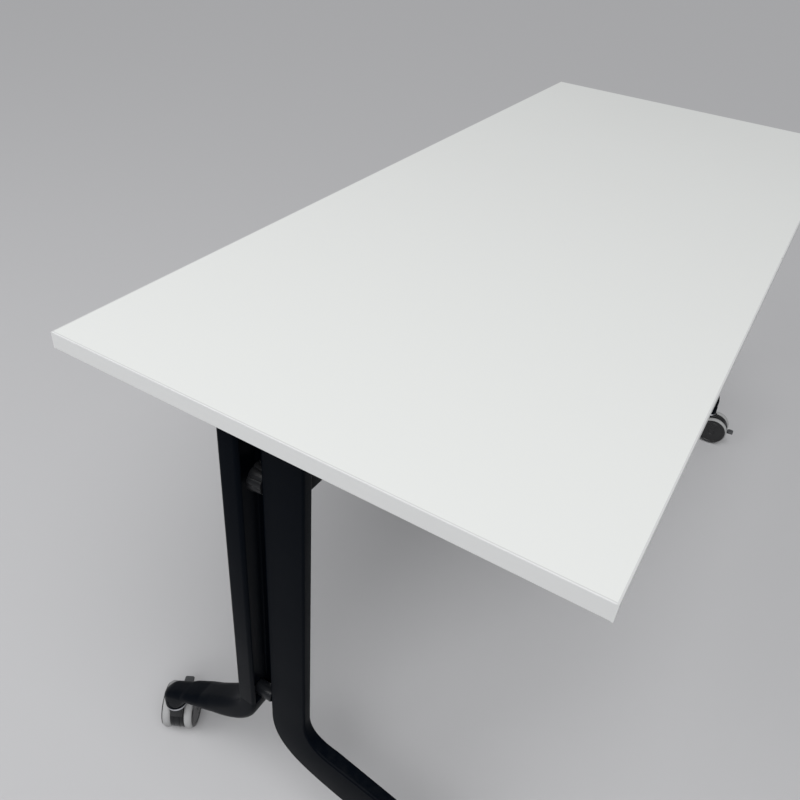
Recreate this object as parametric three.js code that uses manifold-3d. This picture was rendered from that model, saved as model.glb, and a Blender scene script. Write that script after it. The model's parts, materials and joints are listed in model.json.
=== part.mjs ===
// Flip top training table: a white laminate top that tilts up on black legs with braked twin-wheel casters.
// Millimetres, +Z up, +X along the table, -Y towards the person who sits at it, floor at z = 0.
import * as THREE from 'three';
import { mergeVertices } from 'three/addons/utils/BufferGeometryUtils.js';
import Module from 'manifold-3d';

const wasm = await Module();
wasm.setup();

// Overall sizes
const tableLength = 1400;
const tableDepth = 600;
const tableHeight = 750;

// Top
const topThickness = 20;
const bandThickness = 2;
const bandArris = 1;

// Clearances
const seatGap = 0.3; // a turned or cut piece to its seat
const runningGap = 0.3; // a pin or bar to its bore

// Legs: each end has a thin front leg and a broad rear leg, side by side in depth
const legInset = 46; // table end to the middle of the legs
const frontFace = 10; // table's middle to the front leg's front edge
const frontLegDepth = 54;
const frontLegThickness = 14;
const frontFootThickness = 21;
const frontFootShift = 2; // the foot's extra thickness lies mostly on its inner side
const frontLegEdge = 4; // rounding of its long edges
const legGap = 17; // between the two uprights
const rearLegDepth = 27;
const rearLegThickness = 44;
const rearLegEdge = 5;
const rearFootEdge = 16;
const frontLegDrop = 12; // underside of the top to the front leg's top end
const rearLegDrop = 20;

// Front foot
const frontReach = 264; // table's middle to the caster's swivel axis
const frontKneeInside = 202; // height where the straight edges would meet inside the bend
const frontKneeOutside = 167;
const frontInsideRun = 43; // straight edge taken up by the bend
const frontOutsideRun = 54;
const frontFootFall = THREE.MathUtils.degToRad(11); // slope of the foot's upper edge
const frontHeelFall = THREE.MathUtils.degToRad(25.5); // slope of the lower edge behind the bend
const frontToeThickness = 16; // the foot thins evenly towards its toe
const frontToeReach = 13; // toe's tip ahead of the swivel axis
const frontCrown = 30; // the toe starts to round over this far behind the swivel axis
const frontCrownFoot = 12; // and ends this far above the toe's lower edge
const frontToeHeight = 90; // floor to the toe's lower edge
const toeTurns = [30, 55, 75]; // degrees round the toe's nose

// Rear foot
const rearReach = 257;
const rearKneeInside = 231;
const rearInsideRun = 25;
const rearFootFall = THREE.MathUtils.degToRad(40.4);
const rearHeelTop = 240; // lower edge leaves the upright here
const rearHeelRound = 50; // how far down the heel keeps the upright's line
const rearArch = 67; // swivel axis to the end of the heel's curve
const rearArchHeight = 129.5;
const rearArchFall = THREE.MathUtils.degToRad(21);
const rearArchRun = 65;
const rearInsideLag = 5; // upper edge's curve ends this far behind the lower edge's
const rearToeThickness = 32;
const rearToeShift = 6; // middle of the toe outside the upright's
const rearToeDepth = 9;
const rearToeHeight = 104;

// Channel down the front of the rear upright
const channelDepth = 10;
const channelWall = 5;
const channelFoot = 243;

// Caster sockets in the feet
const socketRadius = 15;
const socketHeight = 77; // floor to the face that the caster's collar meets
const socketWall = 8;
const socketTaper = 3; // front socket narrows upwards by this much all round
const domeHeight = 26;
const domeRise = 3; // rear toe's dome above the foot's upper edge

// Casters
const wheelRadius = 35;
const treadWidth = 12;
const treadDepth = 5;
const treadShoulder = 2;
const wheelGap = 0.75; // wheel to caster body
const capOverlap = 2; // cap over the side of the tread
const capThickness = 1.45;
const capArris = 0.7;
const casterTrail = 20; // swivel axis to wheel axle
const casterBodyWidth = 20;
const casterBodyRadius = 33;
const casterBodyUnder = 15; // flat underside of the body to the floor
const collarHeight = 6;
const stemRadius = 5.5;
const stemLength = 13;
const axleRadius = 4;
const axleEngagement = 9; // axle end inside each wheel
const pedalThickness = 7;
const pedalEyeRadius = 8;
const pedalArm = 8;
const pedalWidth = 15;
const pedalLength = 12;
const pedalDrop = 5; // thickness of the tread plate
const pedalClear = 2; // pedal to the wheels and to the body round its eye
const pedalTravel = THREE.MathUtils.degToRad(18); // lift from level, brake on, to brake off

// Spacers between the uprights
const upperSpacerInset = 6.5; // middle of the legs to its axis, towards the table's middle
const upperSpacerDrop = 96.5; // underside of the top to its axis
const upperSpacerRadius = 18.5;
const lobeCount = 10;
const lobeDepth = 1.4;
const lobeTurn = THREE.MathUtils.degToRad(22); // first lobe above the level
const lowerSpacerRise = 255;
const lowerSpacerRadius = 10;

// Tilting gear under the top
const pivotDrop = 36; // underside of the top to the tilt axis
const pivotSetback = 22; // behind the front leg's rear edge
const pivotPinRadius = 6;
const pivotLug = 20; // leg head round the pin
const headThickness = 12;
const beamDrop = 38; // underside of the top to the beam
const beamDepth = 43;
const beamHeight = 50;
const beamWall = 2.5;
const beamSetback = 5; // behind the front leg's front edge
const bumperRadius = 6;
const bracketThickness = 4;
const bracketWidth = 48;
const bracketFront = 150; // ahead of the tilt axis
const bracketRear = 130;
const earThickness = 12;
const earGap = 4; // leg head to bracket ear
const eyeRadius = 16;
const pivotEarSpread = 14; // ear's root beyond its eye
const bushWall = 2;
const pinEnd = 2; // tilt pin stands out of the bracket's ear

// Latch that locks the top down
const latchSetback = 124; // ahead of the tilt axis
const latchDrop = 16; // underside of the top to the latch bar's axis
const latchBarRadius = 5;
const latchEyeRadius = 9;
const latchEarSpread = 8;
const latchBarEnd = 8; // bar stands out of the brackets
const hookThickness = 6;
const hookLip = 10;
const hookLipGap = 1;
const hookClear = 2; // hook's arm to the striker
const hookOpen = THREE.MathUtils.degToRad(28); // open position, as stored
const strikerDepth = 10;
const strikerHeight = 8;
const strikerRise = 24; // beam underside to striker underside
const strikerWidth = 14;
const handleWidth = 34;
const handleThickness = 7;
const handleLength = 84;
const handleInset = 60; // hook to handle

// Facets of round pieces and steps of curved ones
const wheelFacets = 20;
const pinFacets = 16;
const lobeFacets = 6;
const bendSteps = 8;
const heelSteps = 12;
const footSteps = 4;
const edgeSteps = 2;
const fullRound = 0.9; // most of a half width that an edge may round off

// Joined shapes run into each other, and cutters out of the faces they cut, by this much
const overlap = 1;

// Places that follow from the sizes
const underside = tableHeight - topThickness;
const legX = tableLength / 2 - legInset;
const frontBack = frontFace + frontLegDepth;
const rearFront = frontBack + legGap;
const rearBack = rearFront + rearLegDepth;
const pivotY = frontBack + pivotSetback;
const pivotZ = underside - pivotDrop;
const beamFront = frontFace + beamSetback;
const beamBack = beamFront + beamDepth;
const beamTop = underside - beamDrop;
const beamBottom = beamTop - beamHeight;
const headOuter = legX - frontLegThickness / 2;
const lugOuter = legX - rearLegThickness / 2 - seatGap;
const headInner = lugOuter - headThickness;
const earOuter = headInner - earGap;
const earInner = earOuter - earThickness;
const latchY = pivotY - latchSetback;
const latchZ = underside - latchDrop;
const hookOuter = earInner - seatGap;
const hookInner = hookOuter - hookThickness;
const collarTop = socketHeight - seatGap;
const axleHalf = casterBodyWidth / 2 + wheelGap + axleEngagement;

// Colours and finishes
const finish = (color, roughness, metalness) =>
  new THREE.MeshStandardMaterial({ color, roughness, metalness });
const whiteLaminate = finish(0xecedea, 0.35, 0);
const whiteEdging = finish(0xdfe1e0, 0.45, 0);
const blackPowder = finish(0x16181c, 0.5, 0.3);
const blackPlastic = finish(0x141517, 0.4, 0);
const greyRubber = finish(0xb9bbbc, 0.7, 0);
const zincSteel = finish(0xa9adb0, 0.35, 0.9);
const greyPlastic = finish(0x55585b, 0.5, 0);

const table = new THREE.Group();

// Adds a named piece to a group.
function piece(name, geometry, material, group = table) {
  const mesh = new THREE.Mesh(geometry, material);
  mesh.name = name;
  group.add(mesh);
}

// A closed geometry as a solid that can be joined and cut.
function solid(geometry) {
  const bare = geometry.clone();
  bare.deleteAttribute('normal');
  bare.deleteAttribute('uv');
  const welded = mergeVertices(bare, 1e-4);
  const vertProperties = new Float32Array(welded.attributes.position.array);
  const triVerts = new Uint32Array(welded.index.array);
  return new wasm.Manifold(new wasm.Mesh({ numProp: 3, vertProperties, triVerts }));
}

// A solid as a geometry again.
function shaped(body) {
  const mesh = body.getMesh();
  const geometry = new THREE.BufferGeometry();
  geometry.setAttribute('position', new THREE.BufferAttribute(mesh.vertProperties, 3));
  geometry.setIndex(new THREE.BufferAttribute(mesh.triVerts, 1));
  return geometry;
}

// A block between two corners, given in either order.
function block(x0, x1, y0, y1, z0, z1) {
  const box = new THREE.BoxGeometry(Math.abs(x1 - x0), Math.abs(y1 - y0), Math.abs(z1 - z0));
  return box.translate((x0 + x1) / 2, (y0 + y1) / 2, (z0 + z1) / 2);
}

// A round bar along X, Y or Z between two stations on that axis.
function bar(axis, radius, from, to, a, b, facets = pinFacets) {
  const rod = new THREE.CylinderGeometry(radius, radius, Math.abs(to - from), facets);
  const middle = (from + to) / 2;
  if (axis === 'x') return rod.rotateZ(Math.PI / 2).translate(middle, a, b);
  if (axis === 'y') return rod.translate(a, middle, b);
  return rod.rotateX(Math.PI / 2).translate(a, b, middle);
}

// An outline drawn in depth and height, carried along X.
function slabAlongX(shape, from, to, curveSegments = bendSteps) {
  const depth = Math.abs(to - from);
  const slab = new THREE.ExtrudeGeometry(shape, { depth, bevelEnabled: false, curveSegments });
  const turn = new THREE.Matrix4().makeBasis(
    new THREE.Vector3(0, 1, 0), new THREE.Vector3(0, 0, 1), new THREE.Vector3(1, 0, 0));
  return slab.applyMatrix4(turn).translate(Math.min(from, to), 0, 0);
}

// An outline drawn in length and height, carried along Y.
function slabAlongY(shape, from, to, curveSegments = bendSteps) {
  const slab = new THREE.ExtrudeGeometry(shape, { depth: to - from, bevelEnabled: false, curveSegments });
  return slab.rotateX(Math.PI / 2).translate(0, to, 0);
}

// A lug outline: a root at a level, narrowing to a round eye below it.
function lugOutline(eyeY, eyeZ, radius, rootHalf, rootZ) {
  const outline = new THREE.Shape();
  outline.moveTo(eyeY - rootHalf, rootZ);
  outline.lineTo(eyeY - radius, eyeZ);
  outline.absarc(eyeY, eyeZ, radius, Math.PI, 2 * Math.PI, false);
  outline.lineTo(eyeY + rootHalf, rootZ);
  outline.closePath();
  return outline;
}

// A rounded rectangle of points, counted anticlockwise: half width across the leg, half depth along it.
function roundedSection(halfWidth, halfDepth, edge) {
  const radius = Math.min(edge, fullRound * halfWidth, fullRound * halfDepth);
  const points = [];
  for (let corner = 0; corner < 4; corner += 1) {
    const across = corner === 0 || corner === 3 ? 1 : -1;
    const along = corner < 2 ? 1 : -1;
    for (let step = 0; step <= edgeSteps; step += 1) {
      const angle = (corner + step / edgeSteps) * Math.PI / 2;
      points.push([
        across * (halfWidth - radius) + radius * Math.cos(angle),
        along * (halfDepth - radius) + radius * Math.sin(angle),
      ]);
    }
  }
  return points;
}

// A bar with rounded edges, lofted through rings that each span from a near edge point to a far one.
// A ring may stand off the leg's middle plane, to the side that is given as 1 or -1 along X.
function loftedLeg(rings, aside) {
  const positions = [];
  const faces = [];
  let count = 0;
  for (const { near, far, half, edge, shift } of rings) {
    const middle = near.clone().add(far).multiplyScalar(0.5);
    const along = far.clone().sub(near).normalize();
    const section = roundedSection(half, near.distanceTo(far) / 2, edge);
    count = section.length;
    for (const [a, b] of section) {
      positions.push(a + aside * shift, middle.x + along.x * b, middle.y + along.y * b);
    }
  }
  for (let ring = 0; ring + 1 < rings.length; ring += 1) {
    for (let i = 0; i < count; i += 1) {
      const next = (i + 1) % count;
      const here = ring * count;
      const below = here + count;
      faces.push(here + i, below + i, here + next, here + next, below + i, below + next);
    }
  }
  const last = (rings.length - 1) * count;
  for (let i = 1; i + 1 < count; i += 1) {
    faces.push(0, i, i + 1, last, last + i + 1, last + i);
  }
  const geometry = new THREE.BufferGeometry();
  geometry.setAttribute('position', new THREE.Float32BufferAttribute(positions, 3));
  geometry.setIndex(faces);
  return geometry;
}

// A ring's width, edge rounding and shift, part of the way between two others.
function between(from, to, t) {
  return {
    half: THREE.MathUtils.lerp(from.half, to.half, t),
    edge: THREE.MathUtils.lerp(from.edge, to.edge, t),
    shift: THREE.MathUtils.lerp(from.shift, to.shift, t),
  };
}

// Rings along a pair of edge curves, evenly spaced, leaving out the first.
function ringsAlong(nearCurve, farCurve, from, to, steps) {
  const rings = [];
  for (let step = 1; step <= steps; step += 1) {
    const t = step / steps;
    rings.push({ near: nearCurve.getPoint(t), far: farCurve.getPoint(t), ...between(from, to, t) });
  }
  return rings;
}

const at = (y, z) => new THREE.Vector2(y, z);

// Front leg: a thin upright that bends into a tapering foot with a rounded toe over its caster.
function frontLegGeometry(inward) {
  const upright = { half: frontLegThickness / 2, edge: frontLegEdge, shift: 0 };
  const foot = { half: frontFootThickness / 2, edge: frontLegEdge, shift: frontFootShift };
  const toe = { half: frontToeThickness / 2, edge: frontLegEdge, shift: 0 };
  const legTop = underside - frontLegDrop;
  const toeEnd = -frontReach - frontToeReach;
  const line = (y) => frontKneeInside - (frontFace - y) * Math.tan(frontFootFall);
  const crownStart = -frontReach + frontCrown;
  const crownFoot = frontToeHeight + frontCrownFoot;
  const crown = (y) => Math.sqrt(1 - ((crownStart - y) / (crownStart - toeEnd)) ** 2);
  const upper = (y) => (y > crownStart ? line(y) : crownFoot + (line(crownStart) - crownFoot) * crown(y));
  const bendUpperY = frontFace - frontInsideRun * Math.cos(frontFootFall);
  const bendUpper = at(bendUpperY, upper(bendUpperY));
  const bendLower = at(
    frontBack - frontOutsideRun * Math.cos(frontHeelFall),
    frontKneeOutside - frontOutsideRun * Math.sin(frontHeelFall));
  const lowerFall = (bendLower.y - frontToeHeight) / (bendLower.x - toeEnd) / 2;
  const lower = (y) => frontToeHeight + (y - toeEnd) * lowerFall;
  const heelY = bendLower.x - (bendLower.y - lower(bendLower.x)) / (Math.tan(frontHeelFall) - lowerFall);
  const kneeNear = at(frontFace, frontKneeInside + frontInsideRun);
  const kneeFar = at(frontBack, frontKneeOutside + frontOutsideRun);
  const toeRing = (y, section) => ({ near: at(y, upper(y)), far: at(y, lower(y)), ...section });
  const rings = [
    { near: at(frontFace, legTop), far: at(frontBack, legTop), ...upright },
    { near: kneeNear, far: kneeFar, ...upright },
    ...ringsAlong(
      new THREE.QuadraticBezierCurve(kneeNear, at(frontFace, frontKneeInside), bendUpper),
      new THREE.QuadraticBezierCurve(kneeFar, at(frontBack, frontKneeOutside), bendLower),
      upright, foot, bendSteps),
    ...ringsAlong(
      new THREE.LineCurve(bendUpper, at(crownStart, upper(crownStart))),
      new THREE.QuadraticBezierCurve(bendLower, at(heelY, lower(heelY)), at(crownStart, lower(crownStart))),
      foot, toe, bendSteps),
    toeRing(-frontReach + frontCrown / 2, toe),
    toeRing(-frontReach, toe),
  ];
  for (const degrees of toeTurns) {
    const angle = THREE.MathUtils.degToRad(degrees);
    rings.push(toeRing(
      -frontReach - frontToeReach * Math.sin(angle), { ...toe, half: toe.half * Math.cos(angle) }));
  }
  const depth = stemLength + socketWall;
  const socket = new THREE.CylinderGeometry(socketRadius - socketTaper, socketRadius, depth, wheelFacets)
    .rotateX(Math.PI / 2).translate(0, -frontReach, socketHeight + depth / 2);
  return shaped(solid(loftedLeg(rings, inward))
    .add(solid(socket))
    .subtract(solid(stemBore(0, -frontReach))));
}

// The blind hole that takes a caster's stem.
function stemBore(x, y) {
  const depth = stemLength + overlap;
  return bar('z', stemRadius + runningGap, socketHeight - depth, socketHeight + depth, x, y);
}

// Rear leg: a broad upright, open to the front as a channel, that curves back into a short foot.
// The foot narrows on its inner side to a domed toe, which is bored for the caster's stem.
function rearLegGeometry(outward) {
  const half = rearLegThickness / 2;
  const upright = { half, edge: rearLegEdge, shift: 0 };
  const foot = { half, edge: rearFootEdge, shift: 0 };
  const toe = { half: rearToeThickness / 2, edge: rearFootEdge, shift: rearToeShift };
  const archY = rearReach - rearArch;
  const upper = (y) => rearKneeInside - (y - rearBack) * Math.tan(rearFootFall);
  const insideTop = at(rearBack, rearKneeInside + rearInsideRun);
  const insideY = archY + rearInsideLag;
  const insideEnd = at(insideY, upper(insideY));
  const insideMiddle = (rearBack + insideEnd.x) / 2;
  const toeUpper = at(rearReach, rearToeHeight + rearToeDepth);
  const toeLower = at(rearReach, rearToeHeight);
  const heelTop = at(rearFront, rearHeelTop);
  const heelEnd = at(archY, rearArchHeight);
  const legTop = underside - rearLegDrop;
  const rings = [
    { near: at(rearFront, legTop), far: at(rearBack, legTop), ...upright },
    { near: heelTop, far: insideTop, ...upright },
    ...ringsAlong(
      new THREE.CubicBezierCurve(
        heelTop, at(rearFront, rearHeelTop - rearHeelRound),
        at(archY - rearArchRun * Math.cos(rearArchFall),
          rearArchHeight + rearArchRun * Math.sin(rearArchFall)),
        heelEnd),
      new THREE.CubicBezierCurve(
        insideTop, at(rearBack, rearKneeInside - rearInsideRun / 2), at(insideMiddle, upper(insideMiddle)),
        insideEnd),
      upright, foot, heelSteps),
    ...ringsAlong(
      new THREE.LineCurve(heelEnd, toeLower), new THREE.LineCurve(insideEnd, toeUpper),
      foot, toe, footSteps),
  ];
  const dome = [new THREE.Vector2(0, socketHeight), new THREE.Vector2(toe.half, socketHeight)];
  const domeBase = toeUpper.y + domeRise - domeHeight;
  for (let step = 0; step <= bendSteps; step += 1) {
    const angle = Math.PI / 2 * step / bendSteps;
    const across = step === bendSteps ? 0 : toe.half * Math.cos(angle);
    dome.push(new THREE.Vector2(across, domeBase + domeHeight * Math.sin(angle)));
  }
  const toeX = outward * rearToeShift;
  const nose = new THREE.LatheGeometry(dome, wheelFacets).rotateX(Math.PI / 2).translate(toeX, rearReach, 0);
  const channel = block(channelWall - half, half - channelWall,
    rearFront - overlap, rearFront + channelDepth, channelFoot, legTop + overlap);
  return shaped(solid(loftedLeg(rings, outward))
    .add(solid(nose))
    .subtract(solid(channel))
    .subtract(solid(stemBore(toeX, rearReach))));
}

// A round boss between the uprights, with broad lobes and narrow grooves along it.
function lobedSpacer() {
  const outline = new THREE.Shape();
  const steps = lobeCount * lobeFacets;
  for (let step = 0; step < steps; step += 1) {
    const angle = 2 * Math.PI * step / steps;
    const radius = upperSpacerRadius - lobeDepth * (1 - Math.abs(Math.cos(lobeCount * angle / 2)));
    const x = radius * Math.cos(angle + lobeTurn);
    const z = underside - upperSpacerDrop + radius * Math.sin(angle + lobeTurn);
    if (step === 0) outline.moveTo(x, z);
    else outline.lineTo(x, z);
  }
  outline.closePath();
  return slabAlongY(outline, frontBack, rearFront);
}

// Leg head: bolted to the front leg's inner face, it holds the tilt pin and takes the end of the beam.
function legHead(side) {
  const foot = block(side * headInner, side * headOuter, beamFront, beamBack, beamBottom, pivotZ);
  const arm = block(side * headInner, side * lugOuter, beamFront, pivotY, pivotZ - pivotLug, pivotZ);
  const lug = bar('x', pivotLug, side * headInner, side * lugOuter, pivotY, pivotZ, wheelFacets);
  const hole = bar('x', pivotPinRadius + runningGap,
    side * (headInner - overlap), side * (lugOuter + overlap), pivotY, pivotZ);
  return shaped(solid(foot).add(solid(arm)).add(solid(lug)).subtract(solid(hole)));
}

// Top bracket: a plate under the top with an ear for the tilt pin and an ear for the latch bar.
function topBracket(side) {
  const middle = (earInner + earOuter) / 2;
  const plate = block(
    side * (middle - bracketWidth / 2), side * (middle + bracketWidth / 2),
    pivotY - bracketFront, pivotY + bracketRear, underside - bracketThickness, underside);
  const root = underside - bracketThickness / 2;
  const ear = (y, z, radius, spread) => slabAlongX(
    lugOutline(y, z, radius, radius + spread, root), side * earInner, side * earOuter, wheelFacets / 2);
  const hole = (y, z, radius) => bar(
    'x', radius, side * (earInner - overlap), side * (earOuter + overlap), y, z);
  return shaped(solid(plate)
    .add(solid(ear(pivotY, pivotZ, eyeRadius, pivotEarSpread)))
    .add(solid(ear(latchY, latchZ, latchEyeRadius, latchEarSpread)))
    .subtract(solid(hole(pivotY, pivotZ, pivotPinRadius + 2 * runningGap + bushWall)))
    .subtract(solid(hole(latchY, latchZ, latchBarRadius + runningGap))));
}

// Plain sleeve between the tilt pin and the bracket's ear.
function pivotBush(side) {
  const bore = pivotPinRadius + runningGap;
  const sleeve = bar('x', bore + bushWall, side * earInner, side * earOuter, pivotY, pivotZ);
  const hole = bar('x', bore, side * (earInner - overlap), side * (earOuter + overlap), pivotY, pivotZ);
  return shaped(solid(sleeve).subtract(solid(hole)));
}

// A piece of the latch that grips the bar: its outline is drawn round the bar's axis in the locked position.
function onLatchBar(outline, from, to) {
  const plate = solid(slabAlongX(outline, from, to, wheelFacets / 2));
  const hole = solid(bar(
    'x', latchBarRadius + runningGap, Math.min(from, to) - overlap, Math.max(from, to) + overlap, 0, 0));
  return shaped(plate.subtract(hole)).rotateX(-hookOpen).translate(0, latchY, latchZ);
}

// Hook outline: an arm that hangs from the bar, with a lip that reaches back under the striker.
function hookOutline() {
  const lipTop = beamBottom + strikerRise - hookLipGap - latchZ;
  const lipEnd = beamFront - seatGap - hookLipGap - latchY;
  const armFront = -latchEyeRadius;
  const armBack = beamFront - strikerDepth - hookClear - latchY;
  const outline = new THREE.Shape();
  outline.moveTo(latchEyeRadius, 0);
  outline.absarc(0, 0, latchEyeRadius, 0, Math.PI, false);
  outline.lineTo(armFront, -latchEyeRadius);
  outline.lineTo(armBack - latchEyeRadius, lipTop - hookLip);
  outline.lineTo(lipEnd, lipTop - hookLip);
  outline.lineTo(lipEnd, lipTop);
  outline.lineTo(armBack, lipTop);
  outline.closePath();
  return outline;
}

// Handle outline: a flat paddle that reaches forward and down from the bar.
function handleOutline() {
  const fall = hookOpen;
  const ahead = (distance, lift) => [
    -distance * Math.cos(fall) - lift * Math.sin(fall), -distance * Math.sin(fall) + lift * Math.cos(fall)];
  const outline = new THREE.Shape();
  outline.moveTo(...ahead(0, latchEyeRadius));
  outline.lineTo(...ahead(handleLength, handleThickness / 2));
  outline.lineTo(...ahead(handleLength, -handleThickness / 2));
  outline.lineTo(...ahead(0, -latchEyeRadius));
  outline.absarc(0, 0, latchEyeRadius, fall - Math.PI / 2, fall + Math.PI / 2, false);
  outline.closePath();
  return outline;
}

// Twin-wheel caster, standing at its swivel axis, with its wheels trailing along its own +X.
function caster(place, x, y, heading) {
  const group = new THREE.Group();
  group.position.set(x, y, 0);
  group.rotation.z = THREE.MathUtils.degToRad(heading);
  table.add(group);
  piece(`caster_body_${place}`, casterBody(), blackPlastic, group);
  piece(`caster_axle_${place}`,
    bar('y', axleRadius, -axleHalf, axleHalf, casterTrail, wheelRadius), zincSteel, group);
  piece(`brake_pedal_${place}`, brakePedal(), greyPlastic, group);
  for (const [which, side] of [['a', 1], ['b', -1]]) {
    const wheel = new THREE.Group();
    wheel.position.set(casterTrail, side * (casterBodyWidth / 2 + wheelGap + treadWidth / 2), wheelRadius);
    wheel.rotation.z = side > 0 ? 0 : Math.PI;
    group.add(wheel);
    piece(`wheel_hub_${place}_${which}`, wheelHub(), blackPlastic, wheel);
    piece(`wheel_tread_${place}_${which}`, wheelTread(), greyRubber, wheel);
  }
}

// Caster body: a round web between the wheels, the collar under the foot and the stem in its socket.
function casterBody() {
  const bore = axleRadius + runningGap;
  const rise = Math.asin((casterBodyUnder - wheelRadius) / casterBodyRadius);
  const web = new THREE.Shape();
  web.absarc(casterTrail, wheelRadius, casterBodyRadius, rise, Math.PI - rise, false);
  web.closePath();
  const half = casterBodyWidth / 2;
  const collarBottom = collarTop - collarHeight;
  const slotFloor = wheelRadius - pedalEyeRadius - pedalClear;
  const slotLift = casterBodyRadius * Math.sin(pedalTravel);
  const slotRoof = wheelRadius + slotLift + pedalArm / 2 + pedalClear;
  const slotHalf = pedalThickness / 2 + seatGap;
  const slotBack = casterTrail - pedalEyeRadius - pedalClear;
  return shaped(solid(slabAlongY(web, -half, half, wheelFacets))
    .add(solid(block(-half, casterTrail, -half, half, wheelRadius, collarBottom + overlap)))
    .add(solid(bar('z', socketRadius, collarBottom, collarTop, 0, 0, wheelFacets)))
    .add(solid(bar('z', stemRadius, collarBottom, collarTop + stemLength, 0, 0)))
    .subtract(solid(block(
      slotBack, casterTrail + 2 * casterBodyRadius, -slotHalf, slotHalf, slotFloor, slotRoof)))
    .subtract(solid(bar('y', bore, -half - overlap, half + overlap, casterTrail, wheelRadius))));
}

// Wheel centre: a disc on the axle with a cap that closes the outer side.
function wheelHub() {
  const rim = wheelRadius - treadDepth;
  const half = treadWidth / 2;
  const cap = half + seatGap;
  const bottom = axleEngagement + seatGap - half;
  const profile = [
    [0, bottom], [axleRadius + runningGap, bottom], [axleRadius + runningGap, -half], [rim - seatGap, -half],
    [rim - seatGap, cap], [rim + capOverlap, cap], [rim + capOverlap, cap + capThickness - capArris],
    [rim + capOverlap - capArris, cap + capThickness], [0, cap + capThickness],
  ];
  return new THREE.LatheGeometry(profile.map(([r, y]) => new THREE.Vector2(r, y)), wheelFacets);
}

// Soft tyre ring on the wheel centre.
function wheelTread() {
  const inner = wheelRadius - treadDepth;
  const half = treadWidth / 2;
  const profile = [
    [inner, -half], [wheelRadius - treadShoulder, -half], [wheelRadius, treadShoulder - half],
    [wheelRadius, half - treadShoulder], [wheelRadius - treadShoulder, half], [inner, half], [inner, -half],
  ];
  return new THREE.LatheGeometry(profile.map(([r, y]) => new THREE.Vector2(r, y)), wheelFacets);
}

// Brake pedal: an arm with an eye on the axle, ending in a foot plate behind the wheels.
function brakePedal() {
  const outline = new THREE.Shape();
  const reach = wheelRadius + pedalClear;
  const spread = Math.asin(pedalArm / 2 / pedalEyeRadius);
  outline.absarc(0, 0, pedalEyeRadius, spread, 2 * Math.PI - spread, false);
  outline.lineTo(reach, -pedalArm / 2);
  outline.lineTo(reach, pedalArm / 2);
  outline.closePath();
  const half = pedalThickness / 2;
  const plate = block(reach - overlap, reach + pedalLength, -pedalWidth / 2, pedalWidth / 2,
    pedalArm / 2 - pedalDrop, pedalArm / 2);
  return shaped(solid(slabAlongY(outline, -half, half))
    .add(solid(plate))
    .subtract(solid(bar('y', axleRadius + runningGap, -half - overlap, half + overlap, 0, 0))))
    .translate(casterTrail, 0, wheelRadius);
}

// Edge band profile: flat on the core, with softened arrises outside.
function bandOutline() {
  const outline = new THREE.Shape();
  outline.moveTo(0, 0);
  outline.lineTo(bandThickness - bandArris, 0);
  outline.absarc(bandThickness - bandArris, bandArris, bandArris, -Math.PI / 2, 0, false);
  outline.absarc(bandThickness - bandArris, topThickness - bandArris, bandArris, 0, Math.PI / 2, false);
  outline.lineTo(0, topThickness);
  outline.closePath();
  return outline;
}

// Edge band whose outside faces the given way, running from a start point along the top's edge.
function edgeBand(name, outward, start, length) {
  const up = new THREE.Vector3(0, 0, 1);
  const band = new THREE.ExtrudeGeometry(
    bandOutline(), { depth: length, bevelEnabled: false, curveSegments: footSteps });
  const turn = new THREE.Matrix4().makeBasis(outward, up, outward.clone().cross(up));
  piece(name, band.applyMatrix4(turn).translate(start.x, start.y, start.z), whiteEdging);
}

// Tabletop: a laminated core with an edge band on each side
const coreX = tableLength / 2 - bandThickness;
const coreY = tableDepth / 2 - bandThickness;
piece('tabletop_core', block(-coreX, coreX, -coreY, coreY, underside, tableHeight), whiteLaminate);
edgeBand('edge_band_front', new THREE.Vector3(0, -1, 0),
  new THREE.Vector3(tableLength / 2, -coreY, underside), tableLength);
edgeBand('edge_band_rear', new THREE.Vector3(0, 1, 0),
  new THREE.Vector3(-tableLength / 2, coreY, underside), tableLength);
edgeBand('edge_band_left', new THREE.Vector3(-1, 0, 0),
  new THREE.Vector3(-coreX, -coreY, underside), 2 * coreY);
edgeBand('edge_band_right', new THREE.Vector3(1, 0, 0),
  new THREE.Vector3(coreX, coreY, underside), 2 * coreY);

// Beam between the leg heads: a rectangular tube
const beamOutline = new THREE.Shape();
beamOutline.moveTo(beamFront, beamBottom);
beamOutline.lineTo(beamBack, beamBottom);
beamOutline.lineTo(beamBack, beamTop);
beamOutline.lineTo(beamFront, beamTop);
beamOutline.closePath();
const beamBore = new THREE.Path();
beamBore.moveTo(beamFront + beamWall, beamBottom + beamWall);
beamBore.lineTo(beamFront + beamWall, beamTop - beamWall);
beamBore.lineTo(beamBack - beamWall, beamTop - beamWall);
beamBore.lineTo(beamBack - beamWall, beamBottom + beamWall);
beamBore.closePath();
beamOutline.holes.push(beamBore);
piece('cross_beam', slabAlongX(beamOutline, -headInner, headInner), blackPowder);

// Latch bar across the table, shared by both ends
const latchBarHalf = earOuter + latchBarEnd;
piece('latch_bar', bar('x', latchBarRadius, -latchBarHalf, latchBarHalf, latchY, latchZ), zincSteel);

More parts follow.
